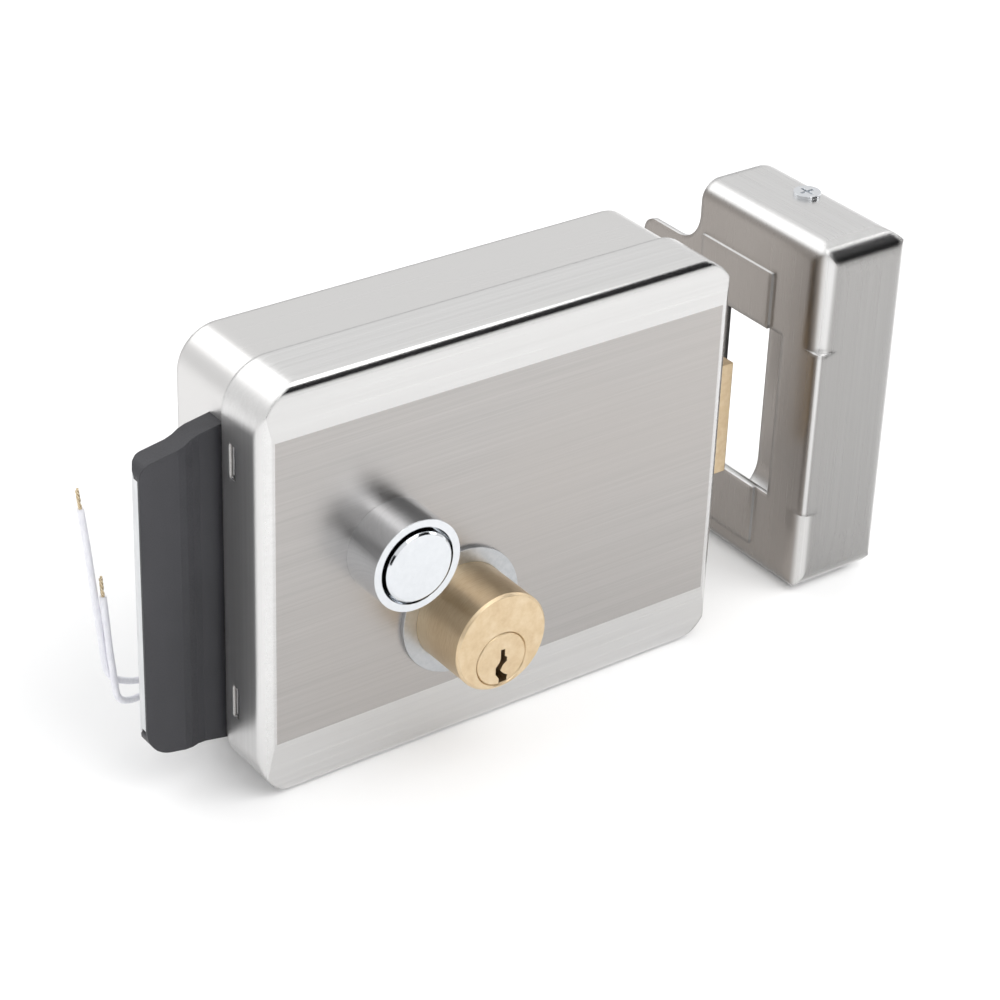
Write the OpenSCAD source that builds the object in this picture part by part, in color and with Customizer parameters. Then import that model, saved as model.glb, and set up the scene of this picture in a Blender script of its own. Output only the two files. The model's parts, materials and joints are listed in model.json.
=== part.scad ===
// Electromechanical rim lock with its strike box.
// X runs to the right seen from the front, +Y goes into the door, +Z is up.
// The origin is the centre of the lock's four door screws, on the door face.

/* [Lock body] */
// Width of the front cover
body_w = 125; // [120:1:132]
// Height of the front cover
body_h = 102; // [100:1:110]
// Depth from the door face to the front panel
body_d = 36; // [35.5:0.5:40]
// Depth of the rear case, where the front cover's rim ends
rear_d = 20.3; // [20:0.1:21]
// Step from the front cover in to the rear case
case_step = 1.3; // [1.3:0.1:1.6]
// Sheet thickness of the stainless shells
sheet = 1.2; // [1:0.1:1.2]
// Corner radius of the body seen from the front
corner_r = 11; // [9:1:14]
// Radius where the front panel turns into the side walls
edge_r = 3.4; // [3:0.1:4]
// How far the top and bottom bands slope back
band_slope = 1.1; // [0.6:0.1:1.4]

/* [Lock cylinder] */
// Cylinder axis, from the body's centre
cyl_x = -11.7; // [-13:0.1:-11]
cyl_z = -17.2; // [-18:0.1:-17]
// Radius of the brass cylinder
cyl_r = 12; // [11.8:0.1:12.2]
// How far the cylinder stands out of the front panel
cyl_out = 16.6; // [12:0.2:22]
// Radius of the turning plug
plug_r = 6.5; // [6.3:0.1:6.5]
// Outer radius of the trim ring
trim_r = 15.5; // [14:0.5:17]

/* [Push button] */
// Button axis, from the body's centre
but_x = -30.6; // [-31:0.1:-30]
but_z = 5.8; // [5.5:0.1:6]
// Outer radius of the chromed bezel
bezel_r = 11; // [10.5:0.1:12]
// How far the bezel stands out of the front panel
bezel_out = 10.8; // [9:0.2:12]
// Button travel
but_travel = 4; // [2:0.5:4]

/* [Bolts] */
// How far the latch bolt stands out of the front cover
latch_out = 16; // [12:0.5:16]
// Height of the latch bolt
latch_h = 29.5; // [26:0.5:29.5]
// How far the cocking bolt stands out
cock_out = 6; // [4:0.5:6]

/* [Side wing] */
// How far the wing reaches out to the left of the body
wing_w = 20; // [16:1:22]
// Height of the wing where it meets the body
wing_h = 79.6; // [70:0.2:80]

/* [Strike box] */
// Gap between the lock body and the strike as they stand
strike_gap = 29; // [27:1:34]
// Width of the box
strike_w = 27; // [26:1:30]
// Depth of the box
strike_d = 46; // [44:1:48]
// Height of the box
strike_h = 94.5; // [92:0.5:98]

/* [Hidden] */
$fn = 64;

half_w = body_w/2;
half_h = body_h/2;
// running clearance between sliding or turning faces
fit = 0.05;
// clear gap between pieces of different bodies
gap = 0.3;
case_hw = half_w - case_step;
case_hh = half_h - case_step;
// depth by which the rear case slips inside the front cover
overlap_d = 1.2;
plate_t = 2;

// mounting screws of the lock
screw_dx = 90;
screw_dz = 80;
screw_r = 2.75;

// front panel: flat between these two creases
crease_top = half_h - 12;
crease_bot = -half_h + 15;

// latch bolt and cocking bolt
latch_y = -14.6;
latch_t = 10;
latch_z = -3.25;
latch_tip = half_w + latch_out;
latch_back = 46;
cock_z = 26.5;
cock_s = 9;
cock_tip = half_w + cock_out;

// the flat layer that the tail and the release lever work in
layer_y = -16;
layer_t = 3;

// plug axis, below the cylinder's own axis
plug_z = cyl_z - 4.4;
plug_face = -body_d - cyl_out;
cam_arm = 14;
cam_pin_r = 2;
cam_angle = 32.4;
hub_r = 5.5;
// half the width of the cam's arm
cam_half = 2.8;
// the two screws that hold the cylinder, from its own axis
cyl_screw_x = 8.6;
cyl_screw_z = -5;

// push button
cap_r = 8.4;
cap_t = 3.5;
bore_r = 9.2;
cap_face = -body_d - bezel_out - 1;
stem_r = 3;
stem_tip = layer_y - 0.6;
web_y = -35.5;

// solenoid: its axis, and the two ends of its yoke
sol_y = -14.5;
sol_z = 33;
sol_x0 = -39.5;
sol_x1 = -16;
lever_x = -12;
lever_z = 18;

// wing
bracket_dz = 22;
wing_x = -half_w + case_step;
wing_end = -half_w - wing_w;
wing_z = -3.2;
wing_slant = 0.18;
wing_front = -18.9;
wing_joggle = 1.8;
wing_t = 5.7;
wing_skin = 0.8;
wing_plate_t = 2.3;

// slots for the cover clips in the cover's left wall
slot_z = 30.2;
slot_h = 8;
slot_y = -24.6;
slot_w = 2;

// leads: radius, and routes along the door face as [x, y, z]
lead_r = 0.8;
lead_y = -1.1;
grommet_x = -half_w;
long_route = [[-62.5, -1.1, -34.4], [-66, -1.1, -34.4], [-70, -1.1, -34.1], [-74, -1.1, -33.4],
    [-77, -1.1, -32.4], [-79.4, -1.1, -31], [-81, -1.1, -29], [-81.8, -1.1, -26.4],
    [-82.2, -1.1, -22], [-82.8, -1.1, -16], [-83.5, -1.1, -9], [-84.2, -1.1, -2],
    [-84.9, -1.1, 5], [-85.6, -1.1, 11], [-86.2, -1.1, 16], [-86.7, -1.1, 20]];
short_route = [[-62.5, -1.1, -37.6], [-66, -1.1, -37.6], [-70, -1.3, -37.5], [-73.5, -1.9, -37.3],
    [-76.6, -2.5, -36.9], [-78.9, -2.9, -35.8], [-80.1, -3, -34], [-80.5, -3, -31.4],
    [-80.9, -2.9, -27], [-81.4, -2.7, -21], [-81.8, -2.5, -14], [-82.1, -2.1, -8],
    [-82.3, -1.7, -3]];

// strike box
strike_x0 = half_w + strike_gap;
strike_x1 = strike_x0 + strike_w;
strike_y0 = -35;
strike_y1 = strike_y0 + strike_d;
strike_z0 = -half_h;
strike_z1 = strike_z0 + strike_h;
strike_r = 10;
window_z0 = -28;
window_z1 = 16;
window_y0 = -21.5;
window_y1 = -1.5;
strike_screw_x = strike_x0 + 16.5;
strike_screw_y = -8;
flange_y1 = strike_y1 + 21;
flange_z0 = -34;
flange_z1 = 26.5;
// the bracket inside the box, and its tabs
bracket_y0 = -12;
bracket_y1 = 0;

// colours
stainless = [0.74, 0.74, 0.73];
steel = [0.62, 0.63, 0.65];
chrome = [0.86, 0.87, 0.89];
brass = [0.80, 0.66, 0.38];
dark = [0.22, 0.22, 0.24];
white = [0.93, 0.93, 0.95];
copper = [0.72, 0.40, 0.22];
rubber = [0.08, 0.08, 0.08];

// ---------- helpers ----------

// cylinder along +Y, from y0 to y1, centred on (x, z)
module rod_y(x, z, r, y0, y1) {
    translate([x, y0, z]) rotate([-90, 0, 0]) cylinder(r = r, h = y1 - y0);
}

// cylinder along +X, from x0 to x1, centred on (y, z)
module rod_x(y, z, r, x0, x1) {
    translate([x0, y, z]) rotate([0, 90, 0]) cylinder(r = r, h = x1 - x0);
}

// box given by its two corners
module span(a, b) {
    translate(a) cube(b - a);
}

// rectangle centred on the origin with round corners
module round_rect(w, h, r) {
    square([w, h - 2*r], center = true);
    square([w - 2*r, h], center = true);
    for (i = [-1, 1], j = [-1, 1]) translate([i*(w/2 - r), j*(h/2 - r)]) circle(r = r);
}

// plate in the XZ plane drawn as 2D (x, z) and given thickness from y0 to y1
module slab(y0, y1) {
    translate([0, y1, 0]) rotate([90, 0, 0]) linear_extrude(y1 - y0) children();
}

// what has to be cut off a square corner at the origin to round it to radius r
module corner_cut(r) {
    difference() {
        translate([-1, -1]) square(r + 1);
        translate([r, r]) circle(r = r);
    }
}

// rectangle from (-hw, 0) to (hw, d) whose two corners at d are rounded
module nose_profile(hw, d, r) {
    difference() {
        translate([-hw, 0]) square([2*hw, d]);
        for (s = [-1, 1]) scale([s, 1]) translate([hw, d]) rotate(180) corner_cut(r);
    }
}

// what a square corner loses to a band that slopes back from the origin to height h
// and to the rounded edge behind it, which is tangent to the band and to the top
module band_cut(h, r) {
    n = [-h, band_slope]/norm([h, band_slope]);
    // the edge stands a hair behind the band, so that the two cuts cross cleanly
    c = [band_slope*(h - r)/h + (r + 0.02)*norm([h, band_slope])/h, h - r];
    polygon([[-1, 0], [0, 0], [band_slope, h], [band_slope, h + 1], [-1, h + 1]]);
    difference() {
        polygon([c, [c[0], h + 1], [-1, h + 1], c + (r + 1)*n]);
        translate(c) circle(r = r);
    }
}

// side view (y, z) of a pressed box: flat front between two creases, bands, rounded edges
module side_profile(y_front, y_back, z0, z1, crease0, crease1, r) {
    difference() {
        translate([y_front, z0]) square([y_back - y_front, z1 - z0]);
        translate([y_front, crease1]) band_cut(z1 - crease1, r);
        translate([y_front, crease0]) scale([1, -1]) band_cut(crease0 - z0, r);
    }
}

// wire helix along +Z: wire radius w, coil radius r, length h, number of turns
module helix(r, w, h, turns, steps = 14, sides = 6) {
    n = turns*steps;
    pts = [for (i = [0:n], k = [0:sides - 1])
        let (a = 360*i/steps, b = 360*k/sides, q = r + w*cos(b))
        [q*cos(a), q*sin(a), w + (h - 2*w)*i/n + w*sin(b)]];
    ring = [for (i = [0:n - 1], k = [0:sides - 1])
        [i*sides + k, (i + 1)*sides + k, (i + 1)*sides + (k + 1)%sides, i*sides + (k + 1)%sides]];
    caps = [[for (k = [0:sides - 1]) k], [for (k = [sides - 1:-1:0]) n*sides + k]];
    polyhedron(pts, concat(ring, caps), convexity = 10);
}

function unit(v) = v/norm(v);

// round tube along a route that never runs along the direction lean
module tube(route, r, sides = 8) {
    last = len(route) - 1;
    lean = [0.3, 0.94, 0.15];
    pts = [for (i = [0:last], k = [0:sides - 1])
        let (t = unit(route[min(i + 1, last)] - route[max(i - 1, 0)]),
             side = unit(cross(t, lean)), up = cross(side, t), a = 360*k/sides)
        route[i] + r*(cos(a)*side + sin(a)*up)];
    ring = [for (i = [0:last - 1], k = [0:sides - 1])
        [i*sides + k, i*sides + (k + 1)%sides, (i + 1)*sides + (k + 1)%sides, (i + 1)*sides + k]];
    caps = [[for (k = [sides - 1:-1:0]) k], [for (k = [0:sides - 1]) last*sides + k]];
    polyhedron(pts, concat(ring, caps), convexity = 10);
}

// ---------- housing ----------

// solid of the front half: rounded front view, rounded side edges, sloped bands
module cover_solid(inset, y_back) {
    r = edge_r - inset;
    d = body_d - inset;
    intersection() {
        slab(-d, -y_back) round_rect(body_w - 2*inset, body_h - 2*inset, corner_r - inset);
        translate([0, 0, -body_h]) linear_extrude(2*body_h) scale([1, -1])
            nose_profile(half_w - inset, d, r);
        translate([-body_w, 0, 0]) rotate([90, 0, 90]) linear_extrude(2*body_w)
            side_profile(-d, 1, inset - half_h, half_h - inset, crease_bot, crease_top, 0.85*r);
    }
}

module front_cover() {
    color(stainless) difference() {
        cover_solid(0, rear_d);
        cover_solid(sheet, rear_d - 1);
        rod_y(cyl_x, cyl_z, cyl_r + 0.15, -body_d - 1, -body_d + 2*sheet);
        rod_y(but_x, but_z, 8.2, -body_d - 1, -body_d + 2*sheet);
        for (s = [-1, 1])
            span([-half_w - 1, slot_y - slot_w/2, s*slot_z - slot_h/2],
                [-half_w + sheet + 0.5, slot_y + slot_w/2, s*slot_z + slot_h/2]);
    }
}

module rear_case() {
    color(stainless) difference() {
        slab(-rear_d - overlap_d, 0)
            round_rect(2*case_hw, 2*case_hh, corner_r - case_step);
        slab(-rear_d - overlap_d - 1, 1)
            round_rect(2*(case_hw - sheet), 2*(case_hh - sheet), corner_r - case_step - sheet);
        span([case_hw - 2*sheet, latch_y - latch_t/2 - gap, latch_z - latch_h/2 - gap],
            [case_hw + 1, latch_y + latch_t/2 + gap, latch_z + latch_h/2 + gap]);
        span([case_hw - 2*sheet, latch_y - cock_s/2 - gap, cock_z - cock_s/2 - gap],
            [case_hw + 1, latch_y + cock_s/2 + gap, cock_z + cock_s/2 + gap]);
        // cable notch
        span([-case_hw - 1, -2.6, -39.6], [-case_hw + 2*sheet, 1, -32.4]);
        // screws up through the bottom wall
        for (s = [-1, 1]) translate([s*40, -10, -case_hh - 1]) cylinder(r = 1.6, h = 3);
        // screws of the side bracket
        for (s = [-1, 1]) rod_x(-8, wing_z + s*bracket_dz, 1.6, -case_hw - 1, -case_hw + 2*sheet);
    }
}

module mounting_plate() {
    hw = case_hw - sheet - 0.1;
    hh = case_hh - sheet - 0.1;
    color(steel) difference() {
        union() {
            slab(-plate_t, 0) round_rect(2*hw, 2*hh, corner_r - case_step - sheet - 0.1);
            // lugs that take the screws of the rear case and of the side bracket
            for (s = [-1, 1]) span([s*40 - 5, -14, -hh], [s*40 + 5, -plate_t, -hh + 2.5]);
            for (s = [-1, 1])
                span([-hw, -12, wing_z + s*bracket_dz - 4.5], [-hw + 2.5, -plate_t, wing_z + s*bracket_dz + 4.5]);
        }
        for (i = [-1, 1], j = [-1, 1])
            rod_y(i*screw_dx/2, j*screw_dz/2, screw_r, -plate_t - 1, 1);
        rod_y(cyl_x, cyl_z, cyl_r, -plate_t - 1, 1);
        span([-hw - 1, -plate_t - 0.5, -39.6], [-50, 1, -32.4]);
        for (s = [-1, 1]) translate([s*40, -10, -hh - 1]) cylinder(r = 1.25, h = 5);
        for (s = [-1, 1]) rod_x(-8, wing_z + s*bracket_dz, 1.25, -hw - 1, -hw + 4);
    }
}

// bent steel tongues: they hook into the cover's two side slots
module cover_clips() {
    x = -case_hw + sheet;
    color(chrome) for (s = [-1, 1]) {
        span([x, -27.2, s*slot_z - 3.6], [x + 0.7, -12, s*slot_z + 3.6]);
        span([-half_w + 0.5, slot_y - 0.7, s*slot_z - 3.4], [x, slot_y + 0.7, s*slot_z + 3.4]);
    }
}

// countersunk screw along +Z with its head at z = 0
module small_screw(len, head_r = 2.8, shank_r = 1.25, head_t = 1.3) {
    difference() {
        union() {
            cylinder(r = head_r, h = head_t);
            translate([0, 0, head_t]) cylinder(r = shank_r, h = len);
        }
        for (a = [0, 90]) rotate(a)
            translate([-head_r*0.6, -0.35, -0.1]) cube([head_r*1.2, 0.7, 0.7]);
    }
}

module case_screws() {
    color(chrome) for (s = [-1, 1])
        translate([s*40, -10, -case_hh - 1.3]) small_screw(4.9);
}

// ---------- side wing ----------

// what rounds the wing's outer lower corner, at height z0 under the wing's middle
module wing_corner(z0, r) {
    n = [wing_slant, 1]/norm([wing_slant, 1]);
    c = [wing_end + r, z0 + r*(norm([wing_slant, 1]) - wing_slant)];
    difference() {
        polygon([[wing_end - 1, c[1]], c, c - r*n, c - (r + 2)*n, [wing_end - 1, z0 - 3]]);
        translate(c) circle(r = r);
    }
}

// outline of the wing in the XZ plane, drawn in by inset at top and bottom
module wing_outline(inset = 0) {
    h = wing_h/2 - inset;
    drop = wing_slant*(wing_w + case_step);
    translate([0, wing_z]) difference() {
        polygon([[wing_x, -h], [wing_x, h], [wing_end, h - drop], [wing_end, -h + drop]]);
        wing_corner(drop - h, 7 - inset);
        scale([1, -1]) wing_corner(drop - h, 3.5 - inset);
    }
}

// section of the wing in the XY plane, between front offset f0 and f1 behind it
module wing_section(f0, f1) {
    y0 = wing_front;
    y1 = wing_front - wing_joggle;
    xa = -half_w - 4.7;
    xb = -half_w - 10.6;
    polygon([[wing_x, y0 + f0], [xa, y0 + f0], [(xa*2 + xb)/3, y0 + f0 - 0.45],
        [(xa + xb*2)/3, y1 + f0 + 0.45], [xb, y1 + f0], [wing_end, y1 + f0],
        [wing_end, y1 + f1], [xb, y1 + f1], [(xa + xb*2)/3, y1 + f1 + 0.45],
        [(xa*2 + xb)/3, y0 + f1 - 0.45], [xa, y0 + f1], [wing_x, y0 + f1]]);
}

// steel plate inside the wing, with a leg turned in to the rear case
module side_bracket() {
    color(steel) difference() {
        union() {
            intersection() {
                translate([0, 0, -body_h/2]) linear_extrude(body_h)
                    wing_section(wing_skin, wing_skin + wing_plate_t);
                slab(-40, 0) wing_outline(1.6);
            }
            span([-case_hw - 1.8, wing_front + wing_skin + 0.5, wing_z - 28],
                [-case_hw, -3, wing_z + 27.2]);
        }
        for (s = [-1, 1])
            rod_x(-8, wing_z + s*bracket_dz, 1.6, -case_hw - 3, -case_hw + 1);
    }
}

// moulding over the plate: thin skin in front, lips above and below, outer end open
module side_cover() {
    yb = wing_front - wing_joggle + wing_t;
    color(dark) difference() {
        intersection() {
            translate([0, 0, -body_h/2]) linear_extrude(body_h) wing_section(0, wing_t);
            slab(-40, 0) wing_outline();
        }
        intersection() {
            translate([0, 0, -body_h/2]) linear_extrude(body_h)
                wing_section(wing_skin, wing_t + 1);
            slab(-40, 0) wing_outline(1.6);
        }
        // the lips' outer back corners are rounded off
        translate([0, 0, -body_h/2]) linear_extrude(body_h)
            polygon([[wing_end - 1, yb - 3.4], [wing_end, yb - 3.4], [wing_end + 0.3, yb - 2.2],
                [wing_end + 1, yb - 1.1], [wing_end + 2.2, yb - 0.3], [wing_end + 3.4, yb],
                [wing_end + 3.4, yb + 2], [wing_end - 1, yb + 2]]);
    }
}

module bracket_screws() {
    color(steel) for (s = [-1, 1]) translate([-case_hw - 1.8 - 1.3, -8, wing_z + s*bracket_dz])
        rotate([0, 90, 0]) small_screw(6, 2.6, 1.25, 1.3);
}

// ---------- push button ----------

module button_bezel() {
    color(chrome) difference() {
        union() {
            rod_y(but_x, but_z, bezel_r, -body_d - bezel_out, -body_d);
            rod_y(but_x, but_z, 8, -body_d - 1, -26);
        }
        rod_y(but_x, but_z, bore_r, -body_d - bezel_out - 1, -body_d - 2);
        rod_y(but_x, but_z, 7, -body_d - 3, web_y);
        rod_y(but_x, but_z, stem_r + gap, web_y - 1, -30);
        rod_y(but_x, but_z, 6.5, web_y + 2, -25);
    }
}

module button_nut() {
    color(steel) difference() {
        translate([but_x, -body_d + sheet, but_z]) rotate([-90, 0, 0])
            cylinder(r = 12, h = 3.6, $fn = 6);
        rod_y(but_x, but_z, 8.02, -40, -25);
    }
}

module button_cap() {
    color(chrome) union() {
        rod_y(but_x, but_z, cap_r, cap_face + 0.5, cap_face + cap_t);
        translate([but_x, cap_face, but_z]) rotate([-90, 0, 0])
            cylinder(r1 = cap_r - 0.5, r2 = cap_r, h = 0.5);
    }
}

// rod with a tapered tip that wedges the lever's arm down as it goes in
module button_stem() {
    color(steel) union() {
        rod_y(but_x, but_z, stem_r, cap_face + cap_t, stem_tip - 3.5);
        translate([but_x, stem_tip - 3.5, but_z]) rotate([-90, 0, 0])
            cylinder(r1 = stem_r, r2 = 0.5, h = 3.5);
    }
}

module button_spring() {
    color(steel) translate([but_x, cap_face + cap_t, but_z]) rotate([-90, 0, 0])
        helix(5, 0.4, web_y - cap_face - cap_t, 4);
}

// ---------- lock cylinder ----------

pin_y = [for (i = [0:4]) plug_face + 7 + 4*i];

module cylinder_body() {
    color(brass) difference() {
        union() {
            rod_y(cyl_x, cyl_z, cyl_r, plug_face + 0.6, -24);
            translate([cyl_x, plug_face, cyl_z]) rotate([-90, 0, 0])
                cylinder(r1 = cyl_r - 0.6, r2 = cyl_r, h = 0.6);
        }
        rod_y(cyl_x, plug_z, plug_r + fit, plug_face - 1, -20);
        // the bore's mouth is broken, so the plug's edge shows as a fine groove
        translate([cyl_x, plug_face - 0.1, plug_z]) rotate([-90, 0, 0])
            cylinder(r1 = plug_r + 0.45, r2 = plug_r + fit, h = 0.4);
        for (y = pin_y) translate([cyl_x, y, plug_z]) cylinder(r = 1.55, h = plug_r + 8);
        for (s = [-1, 1])
            rod_y(cyl_x + s*cyl_screw_x, cyl_z + cyl_screw_z, 1.25, -32, -20);
    }
}

module cylinder_trim() {
    color(steel) difference() {
        rod_y(cyl_x, cyl_z, trim_r, -body_d - 1.05, -body_d);
        rod_y(cyl_x, cyl_z, cyl_r + 0.02, -body_d - 2, -body_d + 1);
    }
}

// keyway in the plug's own (x, z), warded like a flat key
module keyway() {
    polygon([[-0.2, 2.4], [0.9, 2.4], [0.9, 0.6], [1.5, 0.1], [1.5, -0.9], [0.4, -1.7],
        [-0.2, -2.9], [0.7, -4], [1.7, -4.6], [1.5, -6.1], [-0.6, -6.1], [-0.6, -4.9],
        [-1.5, -3.6], [-1.5, -1.9], [-0.5, -0.7], [-0.2, 0.2]]);
}

module cylinder_plug() {
    color(brass) difference() {
        union() {
            rod_y(cyl_x, plug_z, plug_r, plug_face + 0.25, -24);
            translate([cyl_x, plug_face, plug_z]) rotate([-90, 0, 0])
                cylinder(r1 = plug_r - 0.25, r2 = plug_r, h = 0.25);
            rod_y(cyl_x, plug_z, 4, -25, -18.6);
        }
        translate([cyl_x, 0, plug_z]) slab(plug_face - 1, plug_face + 25) keyway();
        for (y = pin_y) translate([cyl_x, y, plug_z + 2.6]) cylinder(r = 1.55, h = plug_r);
    }
}

module key_pins() {
    color(brass) for (y = pin_y)
        translate([cyl_x, y, plug_z + 2.6]) cylinder(r = 1.5, h = plug_r - 2.6 - 0.35);
}

module driver_pins() {
    color(brass) for (y = pin_y)
        translate([cyl_x, y, plug_z + plug_r + gap]) cylinder(r = 1.5, h = 3);
}

module pin_springs() {
    color(steel) for (y = pin_y)
        translate([cyl_x, y, plug_z + plug_r + gap + 3]) difference() {
            cylinder(r = 1.4, h = 4.2);
            translate([0, 0, 0.4]) cylinder(r = 1, h = 3.4);
        }
}

module cylinder_bracket() {
    color(steel) difference() {
        union() {
            span([cyl_x - 18, -24, -33], [cyl_x + 18, -22, -7]);
            for (s = [-1, 1]) translate([cyl_x + s*17, 0, 0])
                span([-1, -24, -33], [1, -plate_t, -16]);
        }
        rod_y(cyl_x, plug_z, 5, -26, -20);
        for (s = [-1, 1])
            rod_y(cyl_x + s*cyl_screw_x, cyl_z + cyl_screw_z, 1.6, -26, -20);
    }
}

module cylinder_screws() {
    color(steel) for (s = [-1, 1])
        translate([cyl_x + s*cyl_screw_x, -20.7, cyl_z + cyl_screw_z])
        rotate([90, 0, 0]) small_screw(8, 2.2, 1.25, 1.3);
}

// arm on the plug's tail; its pin drives the latch tail
module plug_cam() {
    px = cyl_x + cam_arm*sin(cam_angle);
    pz = plug_z + cam_arm*cos(cam_angle);
    color(steel) difference() {
        union() {
            slab(-21.6, -19.4) translate([cyl_x, plug_z]) rotate(90 - cam_angle) {
                circle(r = hub_r);
                translate([cam_arm, 0]) circle(r = 3);
                translate([0, -cam_half]) square([cam_arm, 2*cam_half]);
            }
            rod_y(px, pz, cam_pin_r, -20, layer_y + layer_t - 0.5);
        }
        rod_y(cyl_x, plug_z, 4, -25, -18);
    }
}

module plug_clip() {
    color(chrome) difference() {
        rod_y(cyl_x, plug_z, 5.4, -19.4, -18.7);
        rod_y(cyl_x, plug_z, 4.01, -25, -18);
        translate([cyl_x - 1.5, -20, plug_z - 7]) cube([3, 3, 7]);
    }
}

// ---------- bolts ----------

// casting with a window for each bolt, screwed to the plate beside the right wall
module bolt_guide() {
    z0 = latch_z - latch_h/2 - 2.5;
    z1 = cock_z + cock_s/2 + 2.5;
    x1 = case_hw - sheet - 0.3;
    c = 0.06;
    color(steel) difference() {
        span([x1 - 11, latch_y - latch_t/2 - 2, z0], [x1, -plate_t, z1]);
        span([x1 - 12, latch_y - latch_t/2 - c, latch_z - latch_h/2 - c],
            [x1 + 1, latch_y + latch_t/2 + c, latch_z + latch_h/2 + c]);
        span([x1 - 12, latch_y - cock_s/2 - c, cock_z - cock_s/2 - c],
            [x1 + 1, latch_y + cock_s/2 + c, cock_z + cock_s/2 + c]);
    }
}

// latch head: bevelled on the side that meets the strike as the door closes
module latch_bolt() {
    y0 = latch_y - latch_t/2;
    y1 = latch_y + latch_t/2;
    color(brass) difference() {
        translate([0, 0, latch_z - latch_h/2]) linear_extrude(latch_h)
            polygon([[latch_back, y0], [latch_tip, y0], [latch_tip, y0 + 4], [latch_tip - 8, y1],
                [latch_back, y1]]);
        // slot for the tail
        span([latch_back - 1, layer_y, -12], [latch_back + 8, layer_y + layer_t, 2]);
        // seat of the spring
        rod_x(latch_y, 7.5, 3, latch_back - 1, latch_back + 2);
    }
}

// flat tail: the cam's pin works in its lower notch
module latch_tail() {
    px = cyl_x + cam_arm*sin(cam_angle);
    color(steel) slab(layer_y, layer_y + layer_t) difference() {
        translate([-10, -12]) square([latch_back + 18, 14]);
        translate([-11, -2.5]) square([25, 6]);
        translate([px - cam_pin_r - 0.5, -13]) square([2*cam_pin_r + 1, 8]);
        // catch notch that comes under the lever's nose when the bolt is in
        translate([17.5, -0.6]) square([7, 4]);
    }
}

module latch_spring() {
    color(steel) translate([21, latch_y, 7.5]) rotate([0, 90, 0])
        helix(2.2, 0.45, latch_back + 2 - 21, 9);
}

module cocking_bolt() {
    y0 = latch_y - cock_s/2;
    y1 = latch_y + cock_s/2;
    color(brass) union() {
        translate([0, 0, cock_z - cock_s/2]) linear_extrude(cock_s)
            polygon([[44, y0], [cock_tip, y0], [cock_tip, y0 + 3], [cock_tip - 6, y1],
                [44, y1]]);
        rod_x(latch_y, cock_z, 2, 10, 44);
    }
}

module cocking_spring() {
    color(steel) translate([21, latch_y, cock_z]) rotate([0, 90, 0])
        helix(3.2, 0.45, 23, 8);
}

// upright that both springs push against
module spring_post() {
    color(steel) difference() {
        span([18, -19, 4], [21, -plate_t, 31]);
        rod_x(latch_y, cock_z, 2 + fit, 17, 22);
    }
}

// ---------- solenoid and release lever ----------

module solenoid_yoke() {
    color(steel) difference() {
        union() {
            span([sol_x0, -26, sol_z - 11], [sol_x1, -3, sol_z + 11]);
            span([sol_x0 + 4, -3, sol_z - 7], [sol_x1 - 4, -plate_t, sol_z + 7]);
        }
        span([sol_x0 + 2, -27, sol_z - 12], [sol_x1 - 2, -5, sol_z + 12]);
        rod_x(sol_y, sol_z, 4.5, sol_x1 - 3, sol_x1 + 1);
        rod_x(sol_y, sol_z, 2, sol_x0 - 1, sol_x0 + 3);
    }
}

module coil_bobbin() {
    color(white) difference() {
        union() {
            rod_x(sol_y, sol_z, 9.4, sol_x0 + 2, sol_x0 + 3.6);
            rod_x(sol_y, sol_z, 9.4, sol_x1 - 3.6, sol_x1 - 2);
            rod_x(sol_y, sol_z, 5.5, sol_x0 + 3, sol_x1 - 3);
        }
        rod_x(sol_y, sol_z, 4.5, sol_x0 + 1, sol_x1 - 1);
    }
}

module coil_winding() {
    color(copper) difference() {
        rod_x(sol_y, sol_z, 9, sol_x0 + 3.6, sol_x1 - 3.6);
        rod_x(sol_y, sol_z, 5.5, sol_x0 + 2, sol_x1 - 2);
    }
}

module solenoid_core() {
    color(steel) union() {
        rod_x(sol_y, sol_z, 4.5, sol_x0 + 2, sol_x0 + 6.5);
        rod_x(sol_y, sol_z, 2, sol_x0 - 1.5, sol_x0 + 2);
    }
}

// plunger with a slotted end that the lever's finger sits in
module armature() {
    color(steel) difference() {
        union() {
            rod_x(sol_y, sol_z, 4.1, sol_x0 + 9.5, -12);
            span([-12.5, -19, 29.5], [-3.4, -10, 37]);
        }
        span([-10.6, -20, 28], [-5.4, -9, 35]);
    }
}

module armature_spring() {
    color(steel) translate([sol_x1, sol_y, sol_z]) rotate([0, 90, 0])
        helix(4.9, 0.3, 3.5, 2.5);
}

// one plate with three arms: up to the plunger, left to the button, right to the tail
module release_lever() {
    wedge_z = but_z - 0.8;
    color(steel) slab(layer_y, layer_y + layer_t) difference() {
        union() {
            translate([lever_x, lever_z]) circle(r = 5);
            polygon([[lever_x - 2, lever_z + 3.6], [lever_x + 3.4, lever_z + 2.4], [-6.4, 26],
                [-6.4, 33.5], [-9.6, 33.5], [-9.6, 27]]);
            polygon([[but_x + 4.5, wedge_z], [but_x - 3, wedge_z], [but_x - 3, wedge_z - 3],
                [but_x + 7, wedge_z - 3], [lever_x - 1.6, lever_z - 4],
                [lever_x - 4.2, lever_z + 0.6]]);
            polygon([[3.5, 7], [3.5, 2.5], [8, 2.5], [8, 9], [lever_x + 4, lever_z + 0.6],
                [lever_x + 1.2, lever_z - 4]]);
        }
        translate([lever_x, lever_z]) circle(r = 2.5 + fit);
    }
}

module lever_pin() {
    color(chrome) union() {
        rod_y(lever_x, lever_z, 2.5, layer_y - 1, -plate_t);
        rod_y(lever_x, lever_z, 4, layer_y - 2, layer_y - gap);
        rod_y(lever_x, lever_z, 4, layer_y + layer_t + gap, -plate_t);
    }
}

// ---------- wiring ----------

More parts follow.
